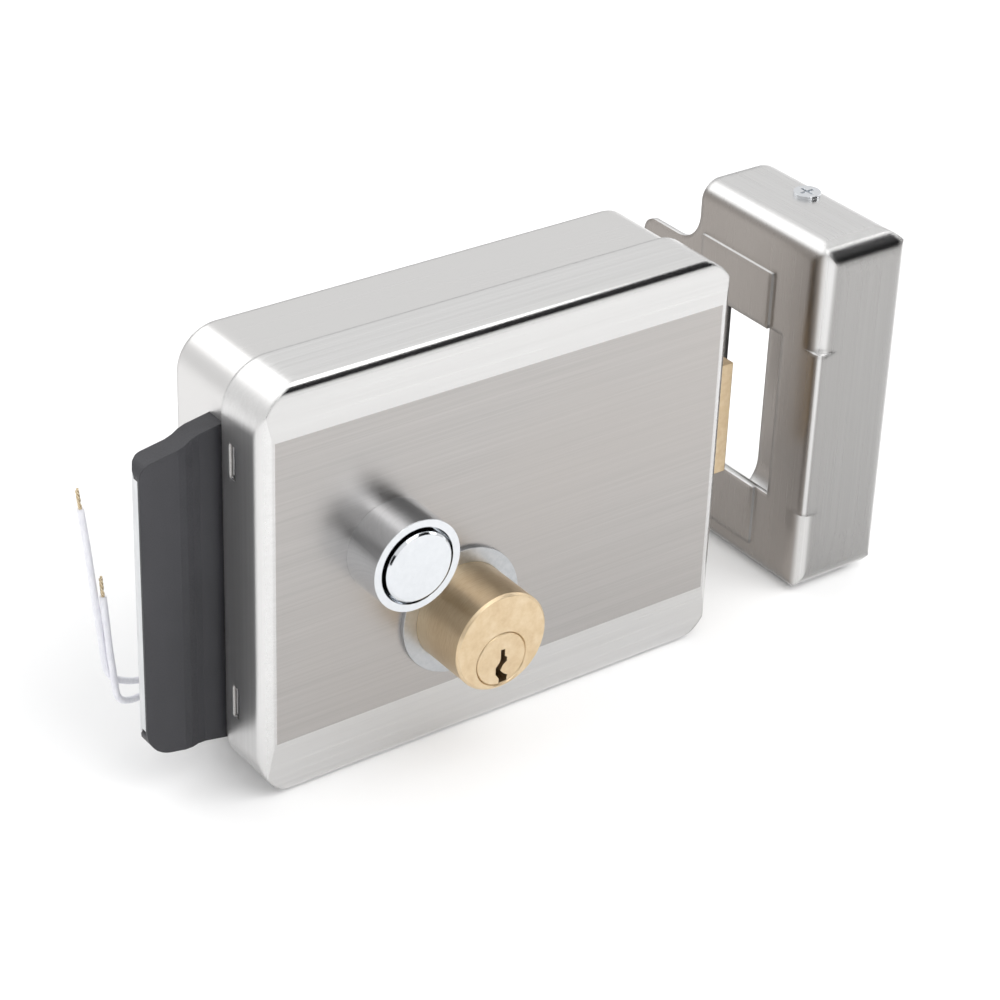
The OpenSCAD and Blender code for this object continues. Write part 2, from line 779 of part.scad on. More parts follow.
module terminal_block() {
    color(dark) difference() {
        span([-52, -11, -31], [-40, -plate_t, -19]);
        for (z = [-28, -22]) rod_y(-46, z, 2, -12, -7);
        for (z = [-28, -22]) translate([-46, -6, z]) cube([13, 2.2, 2.2], center = true);
    }
}

module terminal_screws() {
    color(chrome) for (z = [-28, -22]) difference() {
        rod_y(-46, z, 1.9, -9.6, -7.1);
        translate([-48, -10, z - 0.3]) cube([4, 0.8, 0.6]);
    }
}

// the leads' stretch inside the case, from the grommet to the terminals
module inner_leads() {
    color(white) {
        tube([[-61.5, -1.1, -34.4], [-58, -1.1, -34.4], [-55.5, -1.6, -34], [-54.2, -3.4, -32.4],
            [-53.6, -5.2, -30], [-53, -6, -28.6], [-52, -6, -28], [-49, -6, -28]], lead_r);
        tube([[-61.5, -1.1, -37.6], [-58, -1.1, -37.6], [-56, -1.8, -37.2], [-55.2, -3.6, -36],
            [-55.4, -6, -33], [-55.6, -7.2, -29], [-55.4, -7.2, -26], [-54.6, -6.6, -23.6],
            [-53.4, -6.1, -22.3], [-52, -6, -22], [-49, -6, -22]], lead_r);
    }
}

module cable_grommet() {
    color(rubber) difference() {
        span([-half_w, -2.5, -39.5], [-59, 0, -32.5]);
        for (z = [-34.4, -37.6]) rod_x(lead_y, z, lead_r, -half_w + 1, -58);
    }
}

module lead_long() {
    color(white) tube(long_route, lead_r);
}

module lead_short() {
    color(white) tube(short_route, lead_r);
}

// ---------- strike box ----------

// top view of the box, its back edge on the X axis, rounded towards the front
module strike_plan(w, d, r_left, r_right) {
    difference() {
        translate([-w/2, 0]) square([w, d]);
        translate([-w/2, d]) rotate(-90) corner_cut(r_left);
        translate([w/2, d]) rotate(180) corner_cut(r_right);
    }
}

// solid of the box, drawn in by inset on every closed side
module strike_solid(inset, y_back) {
    w = strike_w - 2*inset;
    h = strike_h - 2*inset;
    d = y_back - strike_y0 - inset;
    zc = (strike_z0 + strike_z1)/2;
    xc = (strike_x0 + strike_x1)/2;
    y_front = strike_y0 + inset;
    intersection() {
        // front view: large radius on the right, small on the left
        translate([xc, y_back, zc]) rotate([90, 0, 0]) linear_extrude(d) difference() {
            square([w, h], center = true);
            for (s = [-1, 1]) {
                scale([1, s]) translate([-w/2, -h/2]) corner_cut(5 - inset);
                scale([1, s]) translate([w/2, -h/2]) rotate(90) corner_cut(strike_r - inset);
            }
        }
        // top view: the left edge is pressed tight beside the window
        union() {
            translate([xc, y_back, zc - strike_h]) linear_extrude(2*strike_h) scale([1, -1])
                strike_plan(w, d, 6 - inset, 6 - inset);
            translate([xc, y_back, window_z0 + inset])
                linear_extrude(window_z1 - window_z0 - 2*inset) scale([1, -1])
                strike_plan(w, d, 2 - inset, 6 - inset);
        }
        // side view: sloped bands, and a large radius above and below
        translate([xc - strike_w, 0, 0]) rotate([90, 0, 90]) linear_extrude(2*strike_w)
            side_profile(y_front, y_back, strike_z0 + inset, strike_z1 - inset,
                strike_z0 + 15.8, strike_z1 - 8.5, 6.5 - inset);
    }
}

// flange that folds back along the frame, with a fillet into the box's left wall
module strike_flange() {
    f = 8;
    translate([strike_x0, 0, 0]) rotate([90, 0, 90]) linear_extrude(sheet) difference() {
        translate([strike_y1 - 1, flange_z0 - f]) square([flange_y1 - strike_y1 + 1,
            flange_z1 - flange_z0 + 2*f]);
        translate([strike_y1 + f, flange_z1 + f]) circle(r = f);
        translate([strike_y1 + f, flange_z0 - f]) circle(r = f);
        translate([strike_y1 + f, flange_z1]) square([40, 2*f]);
        translate([strike_y1 + f, flange_z0 - 2*f]) square([40, 2*f]);
        translate([flange_y1, flange_z1]) rotate(180) corner_cut(4);
        translate([flange_y1, flange_z0]) rotate(90) corner_cut(4);
    }
}

module strike_cover() {
    color(stainless) difference() {
        union() {
            strike_solid(0, strike_y1);
            strike_flange();
            // raised pad round the window
            span([strike_x0 - 0.8, -17, strike_z0 + 7], [strike_x0 + 1, strike_y1 - 2, 30.5]);
        }
        strike_solid(sheet, strike_y1 + 1);
        span([strike_x0 - 2, window_y0, window_z0], [strike_x0 + 4, window_y1, window_z1]);
        for (z = [-24, 16]) rod_x(strike_y1 + 12, z, 2.25, strike_x0 - 2, strike_x0 + 4);
        translate([strike_screw_x, strike_screw_y, strike_z0 - 1]) cylinder(r = 3.15, h = 4);
        translate([strike_screw_x, strike_screw_y, strike_z1 - 3]) cylinder(r = 1.8, h = 4);
    }
}

// steel bracket inside the box; the two cover screws go into its tabs
module strike_bracket() {
    x1 = strike_x1 - sheet - 0.1;
    z0 = strike_z0 + sheet + 0.1;
    z1 = strike_z1 - sheet - 0.1;
    t = 1.6;
    color(steel) difference() {
        union() {
            span([x1 - t, bracket_y0, z0 + 9], [x1, bracket_y1, z1 - 9]);
            for (z = [z0, z1 - t])
                span([strike_x0 + 11, bracket_y0, z], [strike_x1 - 9, bracket_y1, z + t]);
            // the slanted corners between tab and web
            for (s = [-1, 1]) translate([0, 0, (z0 + z1)/2]) scale([1, 1, s])
                translate([0, bracket_y1, -(z1 - z0)/2]) rotate([90, 0, 0])
                linear_extrude(bracket_y1 - bracket_y0)
                polygon([[strike_x1 - 10.5, 0], [strike_x1 - 10, 0], [x1, 9], [x1, 9.5],
                    [x1 - t, 9.5], [strike_x1 - 10.5, t]]);
        }
        for (z = [z0 - 1, z1 - t - 5])
            translate([strike_screw_x, strike_screw_y, z]) cylinder(r = 1.25, h = t + 6);
    }
}

// pan head on top; the one below is sunk flush, so the box can stand
module strike_screws() {
    color(chrome) {
        translate([strike_screw_x, strike_screw_y, strike_z1 + 0.8]) rotate([180, 0, 0])
            small_screw(5, 3.3, 1.25, 0.8);
        translate([strike_screw_x, strike_screw_y, strike_z0])
            small_screw(5, 3.1, 1.25, sheet);
    }
}

front_cover();
rear_case();
mounting_plate();
cover_clips();
case_screws();
side_bracket();
side_cover();
bracket_screws();
button_bezel();
button_nut();
button_cap();
button_stem();
button_spring();
cylinder_body();
cylinder_trim();
cylinder_bracket();
cylinder_screws();
cylinder_plug();
plug_cam();
plug_clip();
key_pins();
driver_pins();
pin_springs();
bolt_guide();
spring_post();
latch_bolt();
latch_tail();
latch_spring();
cocking_bolt();
cocking_spring();
solenoid_yoke();
coil_bobbin();
coil_winding();
solenoid_core();
armature();
armature_spring();
release_lever();
lever_pin();
terminal_block();
terminal_screws();
inner_leads();
cable_grommet();
lead_long();
lead_short();
strike_cover();
strike_bracket();
strike_screws();
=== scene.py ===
import json
import math

import bmesh
import bpy
from mathutils import Matrix, Vector

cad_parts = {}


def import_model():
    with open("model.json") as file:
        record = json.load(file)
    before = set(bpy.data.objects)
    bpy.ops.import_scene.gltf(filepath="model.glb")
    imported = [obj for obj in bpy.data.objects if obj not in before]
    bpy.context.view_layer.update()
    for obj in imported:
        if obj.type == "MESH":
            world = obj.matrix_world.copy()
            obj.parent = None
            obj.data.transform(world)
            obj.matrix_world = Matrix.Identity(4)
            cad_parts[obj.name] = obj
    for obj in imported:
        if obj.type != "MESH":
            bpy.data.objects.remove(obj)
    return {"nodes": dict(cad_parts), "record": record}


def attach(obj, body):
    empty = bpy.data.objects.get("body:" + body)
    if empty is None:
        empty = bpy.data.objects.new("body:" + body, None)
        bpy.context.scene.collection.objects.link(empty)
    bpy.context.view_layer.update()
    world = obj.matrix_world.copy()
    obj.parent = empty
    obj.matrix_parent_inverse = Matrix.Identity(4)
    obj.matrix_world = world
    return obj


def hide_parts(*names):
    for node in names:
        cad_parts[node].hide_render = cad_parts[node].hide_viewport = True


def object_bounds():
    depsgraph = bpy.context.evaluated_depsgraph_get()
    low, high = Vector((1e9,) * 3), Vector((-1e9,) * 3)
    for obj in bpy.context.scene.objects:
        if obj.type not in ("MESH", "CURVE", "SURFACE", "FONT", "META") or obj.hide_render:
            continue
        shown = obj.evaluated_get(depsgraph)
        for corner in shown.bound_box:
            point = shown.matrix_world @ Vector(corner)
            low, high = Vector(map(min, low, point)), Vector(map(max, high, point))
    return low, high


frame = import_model()
cad_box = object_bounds()
nodes = frame["nodes"]
scene = bpy.context.scene
MM = 0.001


# ---------------------------------------------------------------- camera

AZIMUTH, ELEVATION, ROLL = 36.91, 30.576, 2.191     # degrees
LOCK_MIDDLE = Vector((0, -18, 1.5)) * MM
MIDDLE_SEEN = Vector((-9.627, 3.071, -658.037)) * MM    # the same point, along the camera's own axes
SENSOR_WIDTH, LENS = 36.0, 105.2                    # in the camera's millimetres
CLIP_START, CLIP_END = 0.02, 20.0


def camera():
    """Camera that looks down on the lock's front from the lock's left."""
    az, el, roll = (math.radians(a) for a in (AZIMUTH, ELEVATION, ROLL))
    back = Vector((-math.sin(az) * math.cos(el), -math.cos(az) * math.cos(el), math.sin(el)))
    right = Vector((0, 0, 1)).cross(back).normalized()
    up = back.cross(right)
    c, s = math.cos(roll), math.sin(roll)
    turn = (Matrix(((c, s, 0), (-s, c, 0), (0, 0, 1))) @ Matrix((right, up, back))).transposed()
    data = bpy.data.cameras.new("camera")
    data.sensor_width = SENSOR_WIDTH
    data.lens = LENS
    data.clip_start, data.clip_end = CLIP_START, CLIP_END
    cam = bpy.data.objects.new("camera", data)
    scene.collection.objects.link(cam)
    place = turn.to_4x4()
    place.translation = LOCK_MIDDLE - turn @ MIDDLE_SEEN
    cam.matrix_world = place
    scene.camera = cam


camera()


# ---------------------------------------------------------------- node helpers

class Tree:
    """A material's node tree with short ways to add to it."""

    BEVEL_SAMPLES = 6

    def __init__(self, name):
        self.mat = bpy.data.materials.new(name)
        self.mat.use_nodes = True
        self.t = self.mat.node_tree
        self.bsdf = self.t.nodes["Principled BSDF"]
        self.coord = self.add("ShaderNodeTexCoord")

    def add(self, kind, **props):
        n = self.t.nodes.new(kind)
        for k, v in props.items():
            setattr(n, k, v)
        return n

    def link(self, a, b):
        self.t.links.new(a, b)

    def put(self, socket, value):
        """Links another node's output to the socket, or sets a plain value on it."""
        if isinstance(value, bpy.types.NodeSocket):
            self.link(value, socket)
        else:
            socket.default_value = value

    def sets(self, **values):
        """Puts values on the shader's own inputs, named with _ for each space."""
        for k, v in values.items():
            self.put(self.bsdf.inputs[k.replace("_", " ")], v)

    def mapping(self, scale):
        """The object's coordinates in metres, times the scale."""
        m = self.add("ShaderNodeMapping")
        m.inputs["Scale"].default_value = scale
        self.link(self.coord.outputs["Object"], m.inputs["Vector"])
        return m.outputs["Vector"]

    def noise(self, scale, detail=3.0, rough=0.55, distortion=0.0):
        """Noise with as many patches to a metre along X, Y and Z as the scale says."""
        n = self.add("ShaderNodeTexNoise")
        n.inputs["Scale"].default_value = 1.0
        n.inputs["Detail"].default_value = detail
        n.inputs["Roughness"].default_value = rough
        n.inputs["Distortion"].default_value = distortion
        self.link(self.mapping(scale), n.inputs["Vector"])
        return n.outputs["Fac"]

    def calc(self, op, a, b=0.0):
        n = self.add("ShaderNodeMath", operation=op)
        self.put(n.inputs[0], a)
        self.put(n.inputs[1], b)
        return n.outputs[0]

    def remap(self, value, span, result, smooth=False):
        """The value moved from the span to the result's range, and held at its ends."""
        n = self.add("ShaderNodeMapRange", interpolation_type="SMOOTHSTEP" if smooth else "LINEAR")
        self.put(n.inputs["Value"], value)
        for k, v in zip(("From Min", "From Max", "To Min", "To Max"), (*span, *result)):
            n.inputs[k].default_value = v
        return n.outputs["Result"]

    def ramp(self, value, places, colours):
        """The colours, each at its place along the value."""
        n = self.add("ShaderNodeValToRGB")
        stops = n.color_ramp.elements
        while len(stops) < len(places):
            stops.new(0.5)
        for i, (place, colour) in enumerate(zip(places, colours)):
            stops[i].position = place
            stops[i].color = (*colour, 1.0)
        self.link(value, n.inputs["Fac"])
        return n.outputs["Color"]

    def mix(self, fac, a, b):
        """Colour a where fac is 0, b where it is 1."""
        n = self.add("ShaderNodeMix", data_type="RGBA")
        self.put(n.inputs["Factor"], fac)
        # the colour sockets come after the ones for numbers and vectors
        for socket, colour in ((n.inputs[6], a), (n.inputs[7], b)):
            self.put(socket, (*colour, 1.0) if isinstance(colour, tuple) else colour)
        return n.outputs[2]

    def blend(self, fac, a, b):
        """Number a where fac is 0, b where it is 1."""
        n = self.add("ShaderNodeMix", data_type="FLOAT")
        self.put(n.inputs["Factor"], fac)
        self.put(n.inputs[2], a)
        self.put(n.inputs[3], b)
        return n.outputs[0]

    def split(self, out):
        """X, Y and Z of one of the coordinate node's outputs."""
        n = self.add("ShaderNodeSeparateXYZ")
        self.link(self.coord.outputs[out], n.inputs[0])
        return n.outputs

    def bump(self, height, strength, distance, edge=None):
        """Bumps of the distance in metres, on edges softened by the radius in metres."""
        n = self.add("ShaderNodeBump")
        n.inputs["Strength"].default_value = strength
        n.inputs["Distance"].default_value = distance
        self.link(height, n.inputs["Height"])
        if edge is not None:
            bevel = self.add("ShaderNodeBevel")
            bevel.samples = self.BEVEL_SAMPLES
            bevel.inputs["Radius"].default_value = edge
            self.link(bevel.outputs["Normal"], n.inputs["Normal"])
        return n.outputs["Normal"]


# ---------------------------------------------------------------- brushed stainless

FINE, LONG = 5200.0, 26.0       # brush marks to a metre, across the brushing and along it
MARKS = (0.25, 0.75)            # where nearly all of the marks' values lie
TONES = (0.28, 0.52, 0.76)      # places of the dark, middle and light mark colours
PANEL_TONES = (0.26, 0.52, 0.78)
SEAM = (-0.0204, -0.0202)       # Y of the seam between front cover and rear case

SHELL_STEEL = ((0.64, 0.635, 0.63), (0.70, 0.695, 0.69), (0.76, 0.76, 0.755))
# painted shade: the band tones are the shell steel painted darker
BAND_SHADE_STEEL = ((0.55, 0.545, 0.54), (0.60, 0.595, 0.59), (0.65, 0.65, 0.645))
# painted shade: the panel tones, and the warm cloud tone with them, are the steel painted darker for the
# front-facing panel
PANEL_SHADE_STEEL = ((0.36, 0.348, 0.34), (0.425, 0.41, 0.40), (0.49, 0.475, 0.465))
PANEL_CLOUD = (0.435, 0.408, 0.388)
REAR_STEEL = (0.68, 0.672, 0.665)
STRIKE_STEEL = ((0.305, 0.30, 0.295), (0.34, 0.335, 0.33), (0.375, 0.37, 0.365))
STRIKE_CLOUD = (0.34, 0.33, 0.32)
# painted highlight: a lighter copy of the strike steel for its top and rounded edges
STRIKE_PAINTED_HIGHLIGHT = ((0.60, 0.595, 0.59), (0.66, 0.655, 0.65), (0.72, 0.72, 0.715))
# painted shade: the left wall's warm dark tones
SHADED_WINDOW_WALL = ((0.33, 0.305, 0.285), (0.25, 0.225, 0.205))

RISE, FALL = (0.0, 1.0), (1.0, 0.0)


def grain(t, along, long=LONG):
    """Brush marks that run along the axis given: a fine and a coarse set, from 0 to 1."""
    scale = [FINE] * 3
    scale["xyz".index(along)] = long
    fine = t.noise(scale, detail=4.0, rough=0.65)
    coarse = t.noise([v * 0.22 for v in scale])
    return t.calc("ADD", t.calc("MULTIPLY", fine, 0.6), t.calc("MULTIPLY", coarse, 0.4))


def rounded(t, normal, span=(0.80, 0.93)):
    """1 on a shell's rounded edges, 0 on its flat faces."""
    size = t.calc("ABSOLUTE", normal[0])
    for axis in (1, 2):
        size = t.calc("MAXIMUM", size, t.calc("ABSOLUTE", normal[axis]))
    return t.remap(size, span, FALL, True)


def crisp(t, normal):
    """1 on the polished long edges that run along X, 0 on the satin faces and corners."""
    along = t.remap(t.calc("ABSOLUTE", normal[0]), (0.15, 0.40), FALL, True)
    ahead = t.remap(normal[1], (-0.35, -0.15), FALL, True)
    return t.calc("MULTIPLY", rounded(t, normal, (0.90, 0.985)), t.calc("MULTIPLY", along, ahead))


def brushed_lock():
    """Satin stainless of the lock's shells: marks along X, along Z on the two sides."""
    t = Tree("stainless_lock")
    pos, nor = t.split("Object"), t.split("Normal")
    side = t.remap(t.calc("ABSOLUTE", nor[0]), (0.55, 0.85), RISE, True)
    marks = t.blend(side, grain(t, "x"), grain(t, "z"))
    # painted shade: the bands above and below the creases lean back and are painted a little darker than
    # the sides
    band = t.remap(nor[1], (-0.99, -0.93), FALL, True)
    steel = t.mix(band, t.ramp(marks, TONES, SHELL_STEEL), t.ramp(marks, TONES, BAND_SHADE_STEEL))
    # the rear case has one plain tone, without the marks
    steel = t.mix(t.remap(pos[1], SEAM, RISE), steel, REAR_STEEL)
    # the main panel between the creases is the roughest; painted shade makes its colour the darkest, and
    # random warm clouds lie over it
    panel = t.remap(nor[1], (-0.9995, -0.9985), FALL, True)
    cloud = t.remap(t.noise((14, 14, 22), detail=2.0), (0.35, 0.7), (0.0, 0.5))
    panel_shade_and_cloud = t.mix(cloud, t.ramp(marks, PANEL_TONES, PANEL_SHADE_STEEL), PANEL_CLOUD)
    t.sets(Base_Color=t.mix(panel, steel, panel_shade_and_cloud), Metallic=1.0)
    satin = t.blend(panel, t.remap(marks, MARKS, (0.20, 0.30)), t.remap(marks, MARKS, (0.27, 0.40)))
    satin = t.blend(side, satin, 0.36)
    t.sets(Roughness=t.blend(crisp(t, nor), satin, 0.10))
    t.sets(Normal=t.bump(marks, 0.12, 0.00004, 0.0012))
    return t.mat


def brushed_strike():
    """Satin stainless of the strike box: marks up and down, along Y on top."""
    t = Tree("stainless_strike")
    nor = t.split("Normal")
    top = t.remap(t.calc("ABSOLUTE", nor[2]), (0.6, 0.9), RISE, True)
    marks = t.blend(top, grain(t, "z"), grain(t, "y", long=40.0))
    cloud = t.noise((30, 30, 16), detail=2.0)
    steel = t.mix(t.remap(cloud, (0.3, 0.75), (0.0, 0.4)), t.ramp(marks, TONES, STRIKE_STEEL), STRIKE_CLOUD)
    # painted highlight: the top and the rounded edges are painted brighter
    steel = t.mix(t.calc("MAXIMUM", top, rounded(t, nor)), steel, t.ramp(marks, TONES, STRIKE_PAINTED_HIGHLIGHT))
    # painted shade: the left wall, with the window, faces the lock and is painted warmer and darker
    left = t.remap(nor[0], (-0.95, -0.75), FALL, True)
    shaded_wall_colour = t.mix(t.remap(cloud, (0.3, 0.7), (0.1, 0.6)), *SHADED_WINDOW_WALL)
    t.sets(Base_Color=t.mix(left, steel, shaded_wall_colour), Metallic=1.0)
    t.sets(Roughness=t.blend(crisp(t, nor), t.remap(marks, MARKS, (0.24, 0.34)), 0.14))
    t.sets(Normal=t.bump(marks, 0.10, 0.00004, 0.0022))
    return t.mat


# ---------------------------------------------------------------- other materials

def plain_metal(name, low, high, rough, marks_scale=(900, 900, 900), bump=0.12):
    """Metal between two tones, with small marks and wider patches of wear."""
    t = Tree(name)
    marks = t.noise(marks_scale, detail=4.0, rough=0.6)
    wear = t.remap(t.noise((120, 120, 120)), (0.3, 0.75), (0.0, 0.5))
    t.sets(Base_Color=t.mix(wear, t.ramp(marks, (0.3, 0.7), (low, high)), low), Metallic=1.0)
    t.sets(Roughness=t.remap(marks, MARKS, rough))
    t.sets(Normal=t.bump(marks, bump, 0.00003, 0.0002))
    return t.mat


def brass():
    """Satin brass with turned marks round the cylinder's axis and a warmer tarnish in patches."""
    t = Tree("brass")
    fine = t.noise((500, 5200, 500))
    tarnish = t.remap(t.noise((150, 220, 150)), (0.35, 0.75), (0.0, 0.3))
    tones = ((0.62, 0.47, 0.30), (0.69, 0.545, 0.36), (0.76, 0.63, 0.455))
    base = t.ramp(fine, (0.28, 0.5, 0.75), tones)
    t.sets(Base_Color=t.mix(tarnish, base, (0.66, 0.505, 0.31)), Metallic=1.0)
    t.sets(Roughness=t.remap(fine, MARKS, (0.32, 0.46)))
    t.sets(Normal=t.bump(fine, 0.14, 0.00003, 0.00025))
    return t.mat


def chrome(name, edge):
    """Bright plating, hardly marked."""
    t = Tree(name)
    marks = t.noise((700, 3500, 700))
    t.sets(Base_Color=t.ramp(marks, (0.3, 0.7), ((0.68, 0.70, 0.725), (0.72, 0.74, 0.765))), Metallic=1.0)
    t.sets(Roughness=t.remap(marks, (0.3, 0.7), (0.06, 0.10)))
    t.sets(Normal=t.bump(marks, 0.02, 0.00001, edge))
    return t.mat


def moulded(name, low, high, rough=(0.45, 0.62)):
    """Moulded plastic: fine spark-eroded grain, faint flow clouds and rubbed edges."""
    t = Tree(name)
    grains = 1.0 / (0.35 * MM)
    spark = t.noise((grains, grains, grains), rough=0.6)
    flow = t.noise((60, 60, 25), distortion=0.4)
    base = t.ramp(flow, (0.3, 0.72), (low, high))
    t.sets(Base_Color=t.mix(t.remap(spark, (0.35, 0.75), (0.0, 0.25)), base, high), Metallic=0.0)
    t.sets(Roughness=t.remap(spark, (0.3, 0.7), rough))
    t.sets(Normal=t.bump(spark, 0.25, 0.00005, 0.0004))
    return t.mat


def insulation():
    """White sleeve of the leads, faintly blue."""
    t = Tree("white_insulation")
    marks = t.noise((1500, 1500, 400))
    t.sets(Base_Color=t.ramp(marks, (0.3, 0.7), ((0.78, 0.78, 0.84), (0.90, 0.90, 0.94))))
    t.sets(Roughness=t.remap(marks, (0.3, 0.7), (0.32, 0.45)))
    t.sets(Normal=t.bump(marks, 0.1, 0.00003))
    return t.mat


def winding():
    """Enamelled copper wire laid turn by turn along the coil."""
    t = Tree("copper")
    w = t.add("ShaderNodeTexWave", wave_type="BANDS", bands_direction="X", wave_profile="SIN")
    w.inputs["Scale"].default_value = 1.0
    t.link(t.mapping((900, 1, 1)), w.inputs["Vector"])
    wave = w.outputs["Fac"]
    # painted shade and highlight: the colour runs dark between the turns and light on their crowns
    t.sets(Base_Color=t.ramp(wave, (0.0, 1.0), ((0.28, 0.10, 0.04), (0.72, 0.34, 0.15))))
    t.sets(Metallic=0.8, Roughness=0.3, Normal=t.bump(wave, 0.6, 0.00015))
    return t.mat


MATS = {
    "stainless": brushed_lock(),
    "zinc_steel": plain_metal("zinc_steel", (0.50, 0.51, 0.53), (0.66, 0.67, 0.68), (0.28, 0.42)),
    "wing_steel": plain_metal("wing_steel", (0.60, 0.61, 0.62), (0.76, 0.77, 0.78), (0.25, 0.38),
                              marks_scale=(900, 900, 120)),
    "trim_steel": plain_metal("trim_steel", (0.44, 0.455, 0.47), (0.54, 0.55, 0.565), (0.30, 0.42)),
    "bright_steel": chrome("bright_steel", 0.0002),
    "spring_steel": plain_metal("spring_steel", (0.40, 0.41, 0.43), (0.62, 0.63, 0.65), (0.18, 0.3)),
    "chrome": chrome("chrome", 0.0003),
    "brass": brass(),
    "cast_zinc": plain_metal("cast_zinc", (0.42, 0.43, 0.44), (0.56, 0.57, 0.58), (0.38, 0.55),
                             marks_scale=(400, 400, 400), bump=0.3),
    "copper": winding(),
    "dark_plastic": moulded("dark_plastic", (0.022, 0.022, 0.026), (0.036, 0.036, 0.042)),
    "white_plastic": moulded("white_plastic", (0.70, 0.70, 0.67), (0.82, 0.82, 0.79)),
    "white_insulation": insulation(),
    "rubber": moulded("rubber", (0.015, 0.015, 0.015), (0.03, 0.03, 0.03), (0.6, 0.8)),
}
TINNED = plain_metal("tinned_strand", (0.62, 0.50, 0.33), (0.80, 0.70, 0.52), (0.2, 0.35))
STRIKE_MAT = brushed_strike()

for part in frame["record"]["subparts"]:
    node = nodes[part["node"]]
    node.data.materials.clear()
    strike = part["node"] == "strike_cover"
    node.data.materials.append(STRIKE_MAT if strike else MATS[part["material_slot"]])


# ---------------------------------------------------------------- leads, in mm until they are made

ROUTES = {
    "lead_long": [(-62.5, -1.1, -34.4), (-66, -1.1, -34.4), (-70, -1.1, -34.1), (-74, -1.1, -33.4),
                  (-77, -1.1, -32.4), (-79.4, -1.1, -31), (-81, -1.1, -29), (-81.8, -1.1, -26.4),
                  (-82.2, -1.1, -22), (-82.8, -1.1, -16), (-83.5, -1.1, -9), (-84.2, -1.1, -2),
                  (-84.9, -1.1, 5), (-85.6, -1.1, 11), (-86.2, -1.1, 16), (-86.7, -1.1, 20)],
    "lead_short": [(-62.5, -1.1, -37.6), (-66, -1.1, -37.6), (-70, -1.3, -37.5), (-73.5, -1.9, -37.3),
                   (-76.6, -2.5, -36.9), (-78.9, -2.9, -35.8), (-80.1, -3, -34), (-80.5, -3, -31.4),
                   (-80.9, -2.9, -27), (-81.4, -2.7, -21), (-81.8, -2.5, -14), (-82.1, -2.1, -8),
                   (-82.3, -1.7, -3)],
}
ROUTE_STEP = 1.2
SLEEVE_R, SLEEVE_SIDES = 0.8, 16
BARE = 4.5
STRANDS, STRAND_R, STRAND_SIDES = 5, 0.19, 8
STRAND_STEPS = 32
LAY_R, LAY_TURNS = 0.27, 1.3    # how the outer strands wind round the middle one
STAGGER = 0.02                  # each strand is shorter than the one before by this share of strand 0


def smooth_route(points):
    """Catmull-Rom line through the points, with a point about every ROUTE_STEP."""
    p = [Vector(v) for v in points]
    p = [2 * p[0] - p[1]] + p + [2 * p[-1] - p[-2]]
    out = []
    for i in range(1, len(p) - 2):
        a, b, c, d = p[i - 1:i + 3]
        n = max(2, round((c - b).length / ROUTE_STEP))
        for k in range(n):
            u = k / n
            out.append(0.5 * (2 * b + (c - a) * u + (2 * a - 5 * b + 4 * c - d) * u**2
                              + (3 * b - a - 3 * c + d) * u**3))
    out.append(p[-2])
    return out


def across(along):
    """Two directions square to the one given and to each other."""
    side = along.cross(Vector((0, 1, 0))).normalized()
    return side, side.cross(along)


def tube(name, path, radius, sides, mat):
    """Round tube along the path, closed at both ends."""
    bm = bmesh.new()
    rings = []
    for i, q in enumerate(path):
        along = (path[min(i + 1, len(path) - 1)] - path[max(i - 1, 0)]).normalized()
        side, up = across(along)
        rings.append([bm.verts.new(q + radius * (math.cos(a) * side + math.sin(a) * up))
                      for a in (2 * math.pi * k / sides for k in range(sides))])
    for a, b in zip(rings, rings[1:]):
        for k in range(sides):
            bm.faces.new((a[k], a[(k + 1) % sides], b[(k + 1) % sides], b[k])).smooth = True
    bm.faces.new(rings[0][::-1])
    bm.faces.new(rings[-1])
    bm.normal_update()
    bmesh.ops.recalc_face_normals(bm, faces=bm.faces)
    me = bpy.data.meshes.new(name)
    bm.to_mesh(me)
    bm.free()
    me.materials.append(mat)
    ob = bpy.data.objects.new(name, me)
    scene.collection.objects.link(ob)
    return ob


def strand(name, k, start, end):
    """Strand k of the bare end; strand 0 runs straight and the others wind round it."""
    side, up = across((end - start).normalized())
    reach = (end - start) * (1 - STAGGER * k)
    r = LAY_R if k else 0.0
    path = []
    for i in range(STRAND_STEPS + 1):
        u = i / STRAND_STEPS
        turn = 2 * math.pi * (k / STRANDS + LAY_TURNS * u)
        path.append((start + reach * u + r * (math.cos(turn) * side + math.sin(turn) * up)) * MM)
    ob = tube(name, path, STRAND_R * MM, STRAND_SIDES, TINNED)
    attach(ob, "lock")
    return ob


def lead(node):
    """Insulated lead with its stripped and twisted end."""
    line = smooth_route(ROUTES[node])
    run, cut = 0.0, len(line) - 1
    while run < BARE:
        run += (line[cut] - line[cut - 1]).length
        cut -= 1
    sleeve = [v * MM for v in line[:cut + 1]]
    ob = tube(node + "_sleeve", sleeve, SLEEVE_R * MM, SLEEVE_SIDES, MATS["white_insulation"])
    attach(ob, "lock")
    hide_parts(node)
    # the strands start a step inside the sleeve
    strands = [strand(f"{node}_strand_{k}", k, line[cut - 1], line[-1]) for k in range(STRANDS)]


lead("lead_long")
lead("lead_short")


# ---------------------------------------------------------------- floor and light

FLOOR_SIDE = 6.0
FLOOR_GAP = 0.00005     # between the floor and the part's lowest point
CARD_AWAY = 1.0


def plane(name, width, height, mat, z=0.0):
    """Flat rectangle that faces its own +Z."""
    w, h = width / 2, height / 2
    me = bpy.data.meshes.new(name)
    me.from_pydata([(-w, -h, z), (w, -h, z), (w, h, z), (-w, h, z)], [], [(0, 1, 2, 3)])
    me.materials.append(mat)
    ob = bpy.data.objects.new(name, me)
    scene.collection.objects.link(ob)
    return ob


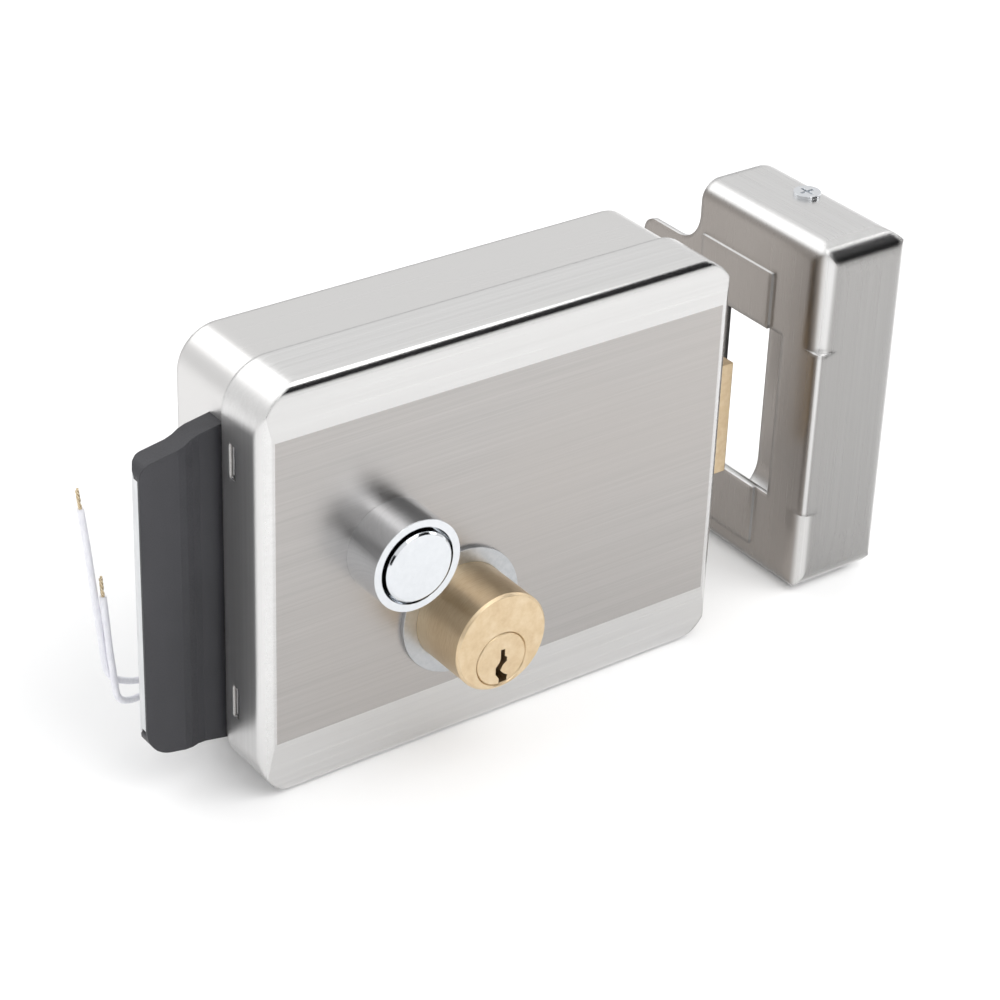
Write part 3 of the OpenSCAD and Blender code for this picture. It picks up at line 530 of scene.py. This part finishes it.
def floor():
    """Plain pale floor just under the object."""
    t = Tree("floor")
    tone = t.ramp(t.noise((8, 8, 8), detail=2.0), (0.3, 0.7), ((0.93, 0.93, 0.93), (0.95, 0.95, 0.95)))
    t.sets(Base_Color=tone, Roughness=0.9, Specular_IOR_Level=0.1)
    plane("floor", FLOOR_SIDE, FLOOR_SIDE, t.mat, cad_box[0].z - FLOOR_GAP)


def card(name, towards, width, height):
    """Dark studio card that shows only in reflections, facing the object."""
    t = Tree(name)
    t.sets(Base_Color=(0.004, 0.004, 0.005, 1.0), Roughness=0.9, Specular_IOR_Level=0.0)
    ob = plane(name, width, height, t.mat)
    ob.location = Vector(towards).normalized() * CARD_AWAY
    ob.rotation_euler = (-ob.location).to_track_quat("Z", "Y").to_euler()
    for ray in ("camera", "diffuse", "shadow", "transmission", "volume_scatter"):
        setattr(ob, "visible_" + ray, False)


def area(name, place, size, power):
    """Square soft light aimed at the middle of the object."""
    data = bpy.data.lights.new(name, "AREA")
    data.shape = "RECTANGLE"
    data.size = data.size_y = size
    data.energy = power
    ob = bpy.data.objects.new(name, data)
    ob.location = place
    ob.rotation_euler = (-Vector(place)).to_track_quat("-Z", "Y").to_euler()
    scene.collection.objects.link(ob)


def world():
    """White tent, a little darker at the horizon and below it."""
    w = bpy.data.worlds.new("studio")
    scene.world = w
    w.use_nodes = True
    t = w.node_tree
    sep = t.nodes.new("ShaderNodeSeparateXYZ")
    t.links.new(t.nodes.new("ShaderNodeTexCoord").outputs["Generated"], sep.inputs[0])
    ramp = t.nodes.new("ShaderNodeValToRGB")
    horizon, zenith = ramp.color_ramp.elements
    horizon.color = (0.86, 0.86, 0.86, 1)
    zenith.color = (1.0, 1.0, 1.0, 1)
    t.links.new(sep.outputs[2], ramp.inputs["Fac"])
    t.links.new(ramp.outputs["Color"], t.nodes["Background"].inputs["Color"])
    t.nodes["Background"].inputs["Strength"].default_value = 1.0


floor()
world()
area("key", (0.35, -0.85, 1.0), size=1.1, power=8.0)
area("back", (-0.25, 0.75, 0.9), size=0.9, power=2.5)
area("fill", (0.9, -0.5, 0.6), size=0.6, power=2.0)
card("card_front", (0.517, -0.738, 0.435), width=0.9, height=0.76)
card("card_side", (-0.60, -0.69, 0.16), width=0.30, height=0.36)
scene.view_settings.view_transform = "Standard"
scene.view_settings.look = "None"
